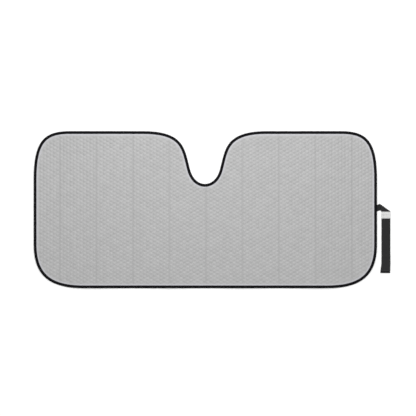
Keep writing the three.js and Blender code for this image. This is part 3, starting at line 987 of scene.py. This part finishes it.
def hookFieldMesh():
    h = hookField
    margin = h["edge"] / strapShape["width"]
    spots = [patchPoint(y, share, hookSurface)
             for y in np.linspace(hookTop - h["edge"], hookLow + h["edge"], h["rows"])
             for share in np.linspace(margin, 1 - margin, h["perRow"])]
    helper = place("hook", hookMesh())
    carrier = place("hookSpots", meshOf("hookSpots", spots, []))
    mesh = grownMesh("hooks", carrier, hookTree(), {
        "Hook": helper, "Turn Spread": h["turnSpread"], "Seed": h["seed"], "Material": hookPlastic,
    })
    bpy.data.objects.remove(helper)
    return mesh


hooks = place("hooks", hookFieldMesh(), hookPlastic)


seamShape = {"inset": 1.4 * mm, "alongPoints": 30, "acrossPoints": 12, "hemMargin": 0.04}


def patchSeam(high, low, lift):
    inset = seamShape["inset"]
    share = inset / strapShape["width"]
    down = np.linspace(high - inset, low + inset, seamShape["alongPoints"])
    right = np.linspace(share, 1 - share, seamShape["acrossPoints"])
    sides = [np.array([patchPoint(y, edge, lift) for y in down]) for edge in (share, 1 - share)]
    ends = [np.array([patchPoint(y, t, lift) for t in right]) for y in (high - inset, low + inset)]
    return [(line, False) for line in sides + ends]


def hemSeam():
    margin = seamShape["hemMargin"]
    y = hemTop - strapShape["hemSeam"]
    across = np.linspace(margin, 1 - margin, seamShape["acrossPoints"])
    return [(np.array([patchPoint(y, t, strapFace + hemStitch["lift"]) for t in across]), False)]


strapFace = strapShape["thickness"] / 2
hookSeam = patchSeam(hookTop, hookLow, hookSurface + patchStitch["lift"])
loopSeam = patchSeam(loopHigh, loopLow, strapFace + strapStitch["lift"])
hookThread = stitchesAlong("hookThread", hookSeam, paleThread, patchStitch, 21)
loopThread = stitchesAlong("loopThread", loopSeam, blackThread, strapStitch, 22)
hemThread = stitchesAlong("hemThread", hemSeam(), blackThread, hemStitch, 23)
print("patches, hooks and strap threads")


# What each piece is in the row

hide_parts("foil_sheet")
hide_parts("edge_tape")
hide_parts("strap")
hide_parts("hook_patch")
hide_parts("loop_patch")
slots = {
    "foil": [foilSheet], "tape": [edgeTape, tapeThreadFront, tapeThreadBack],
    "webbing": [strap, loopThread, hemThread], "hook": [hookPatch, hooks, hookThread], "loop": [loopPatch],
}
for slotName, things in slots.items():
    for thing in things:
        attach(thing, "root")


# Floor, light and camera

studio = {
    "floorColour": (0.97, 0.97, 0.97), "floorRoughness": 0.9, "floorReach": 12.0, "worldStrength": 0.95,
    "lampSize": 1.6, "lampPower": 15.0, "lampAt": (0.0, 0.9, 1.3),
    "lens": 200.0, "sensorWidth": 36.0, "clipEnd": 100.0, "pictureWidth": 1.576, "lookAt": (-0.0155, 0.0064),
}


def softLamp(name, at, size, power):
    light = bpy.data.lights.new(name, "AREA")
    light.shape, light.size, light.energy = "SQUARE", size, power
    lamp = bpy.data.objects.new(name, light)
    lamp.location = at
    lamp.rotation_euler = (-Vector(at)).to_track_quat("-Z", "Y").to_euler()
    bpy.context.scene.collection.objects.link(lamp)
    return lamp


def studioScene():
    s = studio
    scene = bpy.context.scene
    reach = s["floorReach"]
    corners = [(-reach, -reach, 0), (reach, -reach, 0), (reach, reach, 0), (-reach, reach, 0)]
    paleFloor = newMaterial("pale floor", s["floorRoughness"], colour=s["floorColour"])[0]
    floor = place("floor", meshOf("floor", corners, [(0, 1, 2, 3)]), paleFloor)
    lamp = softLamp("overhead", s["lampAt"], s["lampSize"], s["lampPower"])
    scene.world = bpy.data.worlds.new("studio")
    scene.world.use_nodes = True
    background = scene.world.node_tree.nodes["Background"]
    background.inputs["Color"].default_value = (1, 1, 1, 1)
    background.inputs["Strength"].default_value = s["worldStrength"]
    data = bpy.data.cameras.new("camera")
    data.lens, data.sensor_width, data.clip_end = s["lens"], s["sensorWidth"], s["clipEnd"]
    camera = bpy.data.objects.new("camera", data)
    camera.location = (*s["lookAt"], s["pictureWidth"] * s["lens"] / s["sensorWidth"])
    scene.collection.objects.link(camera)
    scene.camera = camera
    scene.view_settings.view_transform = "Standard"


studioScene()
